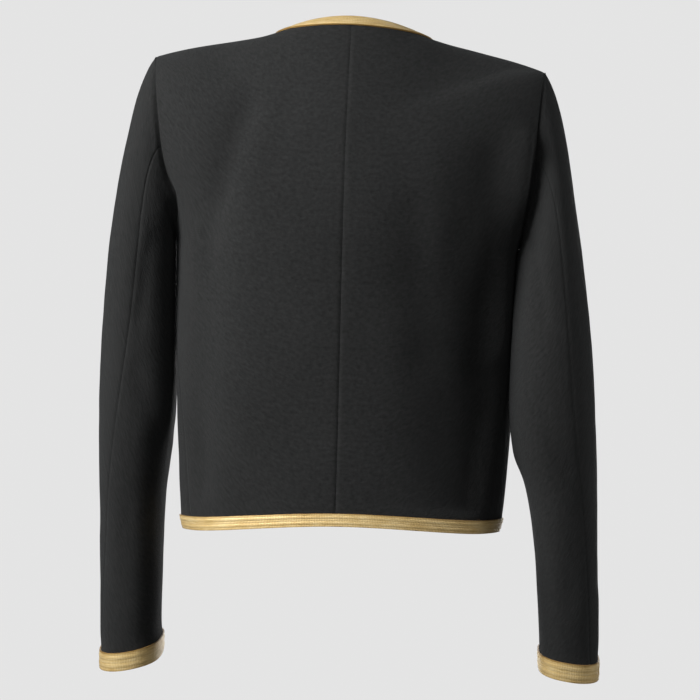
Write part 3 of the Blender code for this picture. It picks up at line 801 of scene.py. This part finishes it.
def add_braid(name, points, ways, side, made, closed=False, overhang=True):
    """Ridged braid on the cloth. Points and directions are pairs: the edge's and the inner line's."""
    points, ways, stations = even_line(points, ways, closed)
    heights = braid_profile()
    size = len(heights) + 2
    vertices = []
    flat = []
    for (low, high), (low_way, high_way), station in zip(points, ways, stations):
        past = BRAID_OVERHANG / np.linalg.norm(high - low) if overhang else 0
        for n, height in enumerate(heights):
            share = n / BRAID_ACROSS
            way = mix(low_way, high_way, share)
            way = way / np.linalg.norm(way)
            lean_side = 1 if int(share * len(BRAID_CORDS)) % 2 else -1
            phase = station / TWIST_LENGTH + lean_side * share * TWIST_SLANT
            lift = height
            if 0 < n < BRAID_ACROSS:
                lift += TWIST_HEIGHT * math.sin(2 * math.pi * phase)
            vertices.append(mix(low, high, mix(-past, 1, share)) + way * lift)
            flat.append((station, share))
        vertices.append(high + high_way * BRAID_LIFT)
        flat.append((station, 1.0))
        vertices.append(mix(low, high, -past) + low_way * BRAID_LIFT)
        flat.append((station, 0.0))
    count = len(stations)
    faces = []
    corners = []
    pitch = stations[1] - stations[0]
    for s in range(count if closed else count - 1):
        this, following = s * size, (s + 1) % count * size
        for n in range(size):
            m = (n + 1) % size
            face = (this + n, this + m, following + m, following + n)
            near, far = stations[s], stations[s] + pitch
            uv = ((near, flat[n][1]), (near, flat[m][1]), (far, flat[m][1]), (far, flat[n][1]))
            if side < 0:
                face, uv = face[::-1], uv[::-1]
            faces.append(face)
            corners += uv
    if not closed:
        for first, face in ((0, range(size - 1, -1, -1)), ((count - 1) * size, range(size))):
            cap = tuple(first + n for n in face)
            if side < 0:
                cap = cap[::-1]
            faces.append(cap)
            corners += [flat[n] for n in cap]
    piece = add_piece(name, vertices, faces, corners, made)


def dress_panel(name, face, side, grid, made):
    """One panel's shell: the smooth grid with its creases, waves and rolled seams."""
    ways = normals(grid, face.sign * side)
    across, lengths = run_lengths(grid, 1), run_lengths(grid, 0)
    sink = -sway(grid)
    for r, row in enumerate(grid):
        for c, point in enumerate(row):
            spot = across[r, c], point[2] - point[0] * math.tan(SHOULDER_TILT)
            sink[r, c] += sum(trough(*spot, crease) for crease in PANEL_CREASES[name])
    to_seam = across[:, -1:] - across
    underarm = ARMHOLE_TOP_ROW + ARMHOLE_ROWS
    below = np.clip((np.arange(len(grid)) - underarm) / SIDE_FADE_ROWS, 0, 1)[:, None]
    sink *= ease(np.clip(to_seam / mix(ARMHOLE_FADE, SIDE_FADE, ease(below)), 0, 1))
    from_centre = across if face is BACK else across - BRAID_WIDTH
    for distance, fade in ((from_centre, CENTRE_FADE),
                           (lengths[-2:-1] - lengths, END_FADE),
                           (lengths - lengths[1:2], END_FADE)):
        sink *= ease(np.clip(distance / fade, 0, 1))
    rolls = np.zeros_like(sink)
    for r in range(1, len(grid)):
        roll = ARMHOLE_ROLL if ARMHOLE_TOP_ROW <= r < underarm else PANEL_ROLL
        rolls[r] = rolled(to_seam[r], roll)
        if face is BACK:
            rolls[r] = np.maximum(rolls[r], rolled(across[r], PANEL_ROLL))
    outer = grid - ways * (sink + rolls)[..., None]
    outer[:, -1] += unit(outer[:, -2] - outer[:, -1]) * SEAM_GAP / 2
    add_wall(name, outer, ways, face.sign * side, made)


def sleeve_angle(column_angle, back_seam):
    """Angle round the arm at a column, whose own angle counts from the top of the armhole."""
    under_turn = SLEEVE_FRONT_SEAM - SLEEVE_BACK_SEAM_AT_ARMHOLE
    if SLEEVE_BACK_SEAM_AT_ARMHOLE < column_angle <= SLEEVE_FRONT_SEAM:
        share = (column_angle - SLEEVE_BACK_SEAM_AT_ARMHOLE) / under_turn
        return mix(back_seam, SLEEVE_FRONT_SEAM, share)
    share = (column_angle - SLEEVE_FRONT_SEAM) % 360 / (360 - under_turn)
    return mix(SLEEVE_FRONT_SEAM - 360, back_seam, share)


def sleeve_ring(side_name, height, column_angles, drop=0.0):
    """Outer points of a sleeve ring, from its outer side round the back. The cuff's ring slopes."""
    outer, inner, middle, back_seam = (
        along(SLEEVE, "height", f"{column}_{side_name}", height)
        for column in ("outer", "inner", "middle", "back_seam"))
    half_depth = along(SLEEVE, "height", "half_depth", height)
    points = []
    for column_angle in column_angles:
        angle = math.radians(sleeve_angle(column_angle, back_seam))
        backward, outward = oval(angle, SLEEVE_SQUARENESS)
        slope = -drop * math.cos(angle - math.radians(CUFF_LOW_SIDE))
        points.append((
            SIDES[side_name] * ((outer + inner) / 2 + (outer - inner) / 2 * outward),
            middle + half_depth * backward,
            height + slope))
    return np.array(points)


def head_pull(turned):
    """Direction and pull of the cloth at the armhole, mixed from the four sides of the arm."""
    shares = (max(math.cos(turned), 0) ** 2, max(math.sin(turned), 0) ** 2,
              max(-math.cos(turned), 0) ** 2, max(-math.sin(turned), 0) ** 2)
    heads = (HEAD_TOP, HEAD_BACK, HEAD_UNDER, HEAD_FRONT)
    return Head(*(sum(share * head[n] for share, head in zip(shares, heads)) for n in range(5)))


def armhole_line(back, front, back_ways, front_ways):
    """Points and directions round one armhole, from its top round the back, a seam gap outside."""
    order = [(back, back_ways, ARMHOLE_TOP_ROW + n) for n in range(ARMHOLE_ROWS + 1)]
    order += [(front, front_ways, ARMHOLE_TOP_ROW + n) for n in range(ARMHOLE_ROWS - 1, 0, -1)]
    points = np.array([grid[r, -1] for grid, ways, r in order])
    ways = np.array([ways[r, -1] for grid, ways, r in order])
    beside = np.array([grid[r, -1] - grid[r, -2] for grid, ways, r in order])
    for _ in range(EDGE_WAY_ROUNDS):
        ways = unit(ways + np.roll(ways, 1, axis=0) + np.roll(ways, -1, axis=0))
    seam = np.roll(points, -1, axis=0) - np.roll(points, 1, axis=0)
    out = unit(np.cross(seam, ways))
    out *= np.sign(np.sum(out * beside, axis=1, keepdims=True))
    return points + out * SEAM_GAP, ways


def sleeve_grid(side_name, edge):
    """Outer rings of a sleeve from the armhole to the cuff, over the sleeve head."""
    side = SIDES[side_name]
    columns = np.arange(len(edge)) * 360 / len(edge)
    first = sleeve_ring(side_name, SLEEVE_TOP, columns)
    second = sleeve_ring(side_name, SLEEVE_SECOND, columns)
    down = unit(second - first)
    pulls = [head_pull(turn) for turn in np.radians(columns)]
    leave = np.array([Vector((side * pull.outward, pull.back, pull.up)).normalized() * pull.leave
                      for pull in pulls])
    arrive = down * np.array([[pull.arrive] for pull in pulls])
    rings = []
    for n in range(SLEEVE_HEAD_ROWS):
        step = (n / SLEEVE_HEAD_ROWS) ** SLEEVE_HEAD_ROW_POWER
        left = 1 - step
        rings.append(edge * left ** 3 + (edge + leave) * 3 * step * left ** 2
                     + (first - arrive) * 3 * step ** 2 * left + first * step ** 3)
    count = int((SLEEVE_TOP - SLEEVE_SLOPE_START) / SLEEVE_ROW_HEIGHT)
    for n in range(count + 1):
        height = mix(SLEEVE_TOP, SLEEVE_SLOPE_START, n / count)
        rings.append(sleeve_ring(side_name, height, columns))
    cuff, slope = CUFF_HEIGHT[side_name], CUFF_SLOPE[side_name]
    for n in range(1, CUFF_ROWS + 1):
        height = mix(SLEEVE_SLOPE_START, cuff + CUFF_BRAID_WIDTH, n / CUFF_ROWS)
        rings.append(sleeve_ring(side_name, height, columns, slope * n / CUFF_ROWS))
    rings.append(sleeve_ring(side_name, cuff, columns, slope))
    return np.array(rings)


def at_columns(grid, columns):
    """Points of a closed grid at fractional columns, on straight lines between its own."""
    count = grid.shape[1]
    low = np.floor(columns).astype(int)
    share = (columns - low)[None, :, None]
    return grid[:, low % count] * (1 - share) + grid[:, (low + 1) % count] * share


def sleeve_creases(side_name, grid):
    """How far the creases sink each point of a sleeve, by its angle round the arm and its height."""
    sink = np.zeros(grid.shape[:2])
    per_column = 360 / grid.shape[1]
    for r, ring in enumerate(grid):
        back_seam = along(SLEEVE, "height", "back_seam_" + side_name, ring[0][2])
        centre = ring.mean(axis=0)
        radius = np.linalg.norm(ring[:, :2] - centre[:2], axis=1).mean()
        for c, point in enumerate(ring):
            angle = sleeve_angle(c * per_column, back_seam) % 360
            for crease in SLEEVE_CREASES[side_name]:
                middle = (crease.start_angle + crease.end_angle) / 2
                turned = (angle - middle + 180) % 360 - 180
                unrolled = Crease(
                    math.radians(crease.start_angle - middle) * radius, crease.start_height,
                    math.radians(crease.end_angle - middle) * radius, crease.end_height,
                    crease.depth, crease.half_width)
                sink[r, c] += trough(math.radians(turned) * radius, point[2], unrolled)
    return sink


def add_sleeve_piece(kind, side_name, surface, ways, seams, pitch, made):
    """One piece of a sleeve between two seams, each given as a column of the whole sleeve."""
    start, end = seams
    near = np.array(SEAM_COLUMNS) / pitch
    clear = near[-1] + COLUMN_CLEARANCE
    inside = np.arange(math.ceil(start + clear), math.floor(end - clear) + 1)
    columns = np.concatenate([start + near, inside, end - near[::-1]])
    outer = at_columns(surface, columns)
    piece_ways = unit(at_columns(ways, columns))
    across = run_lengths(outer, 1)
    roll = np.maximum(rolled(across, SLEEVE_SEAM_ROLL),
                      rolled(across[:, -1:] - across, SLEEVE_SEAM_ROLL))
    roll *= np.clip(run_lengths(outer, 0) / SEAM_ROLL_LENGTH, 0, 1)
    outer = outer - piece_ways * roll[..., None]
    outer[:, 0] += unit(outer[:, 1] - outer[:, 0]) * SEAM_GAP / 2
    outer[:, -1] += unit(outer[:, -2] - outer[:, -1]) * SEAM_GAP / 2
    add_wall(f"{kind}_{side_name}", outer, piece_ways, -SIDES[side_name], made)


def dress_sleeve(side_name, edge, edge_ways, made, gold):
    """Both pieces of a sleeve and its cuff braid."""
    side = SIDES[side_name]
    grid = smoothed(sleeve_grid(side_name, edge), closed=True)
    ways = normals(grid, -side, closed=True)
    ways[0] = edge_ways
    count = grid.shape[1]
    per_column = 360 / count
    lengths = run_lengths(grid, 0)
    sink = sleeve_creases(side_name, grid) - sway(grid)
    sink *= ease(np.clip(lengths / SLEEVE_HEAD_FADE, 0, 1))
    sink *= ease(np.clip((lengths[-2:-1] - lengths) / CUFF_FADE, 0, 1))
    from_top = np.arange(count) * per_column
    from_top = np.minimum(from_top, 360 - from_top)
    head_share = mix(ROLL_AT_TOP, 1, ease(np.clip(from_top / ROLL_GROWS_TO, 0, 1)))
    edge_share = np.clip(lengths / EDGE_ROLL_LENGTH, ROLL_AT_EDGE, 1)
    sink += rolled(lengths, SLEEVE_HEAD_ROLL) * edge_share * head_share
    surface = grid - ways * sink[..., None]
    back_seam = SLEEVE_BACK_SEAM_AT_ARMHOLE / per_column
    front_seam = SLEEVE_FRONT_SEAM / per_column
    pitch = float(np.median(run_lengths(grid, 1)[:, -1])) / count
    for kind, seams in (("upper_sleeve", (front_seam, back_seam + count)),
                        ("under_sleeve", (back_seam, front_seam))):
        add_sleeve_piece(kind, side_name, surface, ways, seams, pitch, made)
    points = np.stack([grid[-1], grid[-2]], axis=1)
    directions = np.stack([ways[-1], ways[-2]], axis=1)
    add_braid("braid_cuff_" + side_name, points, directions, -side, gold,
              closed=True)


def round_body(front, back, row):
    """One row of points or directions round the body, from the left front edge to the right."""
    left = [front["left"][row], back["left"][row][-2::-1]]
    right = [back["right"][row][1:], front["right"][row][-2::-1]]
    return np.concatenate(left + right)


def dress_body(made, gold):
    """Panels, armhole lines and the braids of neck, hem and fronts."""
    back = {name: smoothed(panel_grid(BACK, side)) for name, side in SIDES.items()}
    front = {name: smoothed(panel_grid(FRONT, side)) for name, side in SIDES.items()}
    back_ways = {name: normals(back[name], side) for name, side in SIDES.items()}
    front_ways = {name: normals(front[name], -side) for name, side in SIDES.items()}
    for name in SIDES:
        for r in range(len(back[name])):
            shared = unit(back_ways[name][r, -1] + front_ways[name][r, -1])
            in_armhole = ARMHOLE_TOP_ROW < r < ARMHOLE_TOP_ROW + ARMHOLE_ROWS
            if not in_armhole:
                back_ways[name][r, -1] = shared
                front_ways[name][r, -1] = shared
        back_ways[name][:, 0, 0] = 0
        back_ways[name][:, 0] = unit(back_ways[name][:, 0])
    for name, side in SIDES.items():
        dress_panel("back_" + name, BACK, side, back[name], made)
        dress_panel("front_" + name, FRONT, side, front[name], made)
        edge, edge_ways = armhole_line(back[name], front[name], back_ways[name], front_ways[name])
        dress_sleeve(name, edge, edge_ways, made, gold)
    for name, rows, side in (("braid_hem", (-1, -2), -1), ("braid_neck", (0, 1), 1)):
        points = np.stack([round_body(front, back, row) for row in rows], axis=1)
        ways = np.stack([round_body(front_ways, back_ways, row) for row in rows], axis=1)
        add_braid(name, points, ways, side, gold)
    for name, side in SIDES.items():
        rows = slice(1, -1)
        strip = (0, FRONT_STRIP_COLUMNS)
        points = np.stack([front[name][rows, c] for c in strip], axis=1)
        ways = np.stack([front_ways[name][rows, c] for c in strip], axis=1)
        add_braid("braid_front_" + name, points, ways, -side, gold,
                  overhang=False)


# Camera: level, a little to the wearer's right of square behind, rolled as the photograph is
CAMERA_TARGET = Vector((-0.0042, 0.0, -0.300))
CAMERA_DISTANCE = 2.70
CAMERA_YAW = math.radians(3.0)
CAMERA_ROLL = math.radians(1.65)
FRAME_AT_TARGET = 0.700
SENSOR_WIDTH = 36.0


def make_camera():
    """The camera, looking at its target from behind the jacket."""
    data = bpy.data.cameras.new("camera")
    data.sensor_width = SENSOR_WIDTH
    data.lens = SENSOR_WIDTH * CAMERA_DISTANCE / FRAME_AT_TARGET
    camera = add_object("camera", data)
    back = Vector((-math.sin(CAMERA_YAW), math.cos(CAMERA_YAW), 0))
    forward = -back
    up = Matrix.Rotation(-CAMERA_ROLL, 3, forward) @ Vector((0, 0, 1))
    right = forward.cross(up).normalized()
    up = right.cross(forward)
    turn = Matrix((right, up, back)).transposed()
    camera.matrix_world = Matrix.Translation(CAMERA_TARGET + back * CAMERA_DISTANCE) @ turn.to_4x4()
    bpy.context.scene.camera = camera


# Studio: a pale paper that glows evenly and casts no light or shadow on the jacket
PALE_GREY = 0.775
FLOOR_DROP = 1.40
STUDIO_RADIUS = 14.0
STUDIO_HEIGHT = 12.0
COVE_RADIUS = 3.0
COVE_STEPS = 14
STUDIO_SEGMENTS = 96


def make_studio():
    """Plain pale floor at standing height that sweeps up into a round backdrop."""
    profile = [(0.0, -FLOOR_DROP), (STUDIO_RADIUS - COVE_RADIUS, -FLOOR_DROP)]
    for n in range(1, COVE_STEPS + 1):
        turned = math.pi / 2 * n / COVE_STEPS
        profile.append((STUDIO_RADIUS - COVE_RADIUS + COVE_RADIUS * math.sin(turned),
                        -FLOOR_DROP + COVE_RADIUS * (1 - math.cos(turned))))
    profile.append((STUDIO_RADIUS, STUDIO_HEIGHT))
    vertices = []
    faces = []
    for radius, height in profile:
        for n in range(STUDIO_SEGMENTS):
            turned = 2 * math.pi * n / STUDIO_SEGMENTS
            vertices.append((radius * math.cos(turned), radius * math.sin(turned), height))
    for p in range(len(profile) - 1):
        for n in range(STUDIO_SEGMENTS):
            m = (n + 1) % STUDIO_SEGMENTS
            a, b = p * STUDIO_SEGMENTS, (p + 1) * STUDIO_SEGMENTS
            faces.append((a + n, b + n, b + m, a + m))
    mesh = bpy.data.meshes.new("studio_floor")
    mesh.from_pydata(vertices, [], faces)
    mesh.shade_smooth()
    paper, _ = new_material("pale_paper", {
        "Base Color": (0.02, 0.02, 0.02, 1.0),
        "Roughness": 1.0,
        "Specular IOR Level": 0.0,
        "Emission Color": (PALE_GREY, PALE_GREY, PALE_GREY, 1.0),
        "Emission Strength": 1.0,
    })
    mesh.materials.append(paper)
    floor = add_object("studio_floor", mesh)
    floor.visible_diffuse = False
    floor.visible_glossy = False
    floor.visible_shadow = False


# Soft lights. The key stands at the photograph's left and the rim at its right, both above the
# jacket. The fill is low on the camera's side, and the front light serves the hidden side
Light = namedtuple("Light", "name place size power")
LIGHTS = (
    Light("key", (1.31, 0.98, 0.42), 0.95, 38.5),
    Light("fill", (0.20, 3.00, -0.80), 2.00, 7.5),
    Light("front", (-0.10, -2.60, -0.35), 2.20, 38.0),
    Light("rim", (-2.35, 0.35, 0.50), 1.20, 14.0),
)
LIGHT_TARGET = Vector((0.0, 0.0, -0.25))
WORLD_GREY = 0.11


def make_lights():
    """The lights, each turned to the jacket, and a dim even grey all round."""
    for light in LIGHTS:
        data = bpy.data.lights.new(light.name, "AREA")
        data.shape = "DISK"
        data.size = light.size
        data.energy = light.power
        lamp = add_object(light.name, data)
        lamp.location = light.place
        aim = LIGHT_TARGET - Vector(light.place)
        lamp.rotation_euler = aim.to_track_quat("-Z", "Y").to_euler()
    world = bpy.data.worlds.new("studio_air")
    world.use_nodes = True
    background = world.node_tree.nodes["Background"]
    background.inputs["Color"].default_value = (WORLD_GREY, WORLD_GREY, WORLD_GREY, 1.0)
    bpy.context.scene.world = world
    bpy.context.scene.view_settings.view_transform = "Standard"


wool = wool_material()
gold_braid = braid_material()
dress_body(wool, gold_braid)
make_camera()
make_studio()
make_lights()
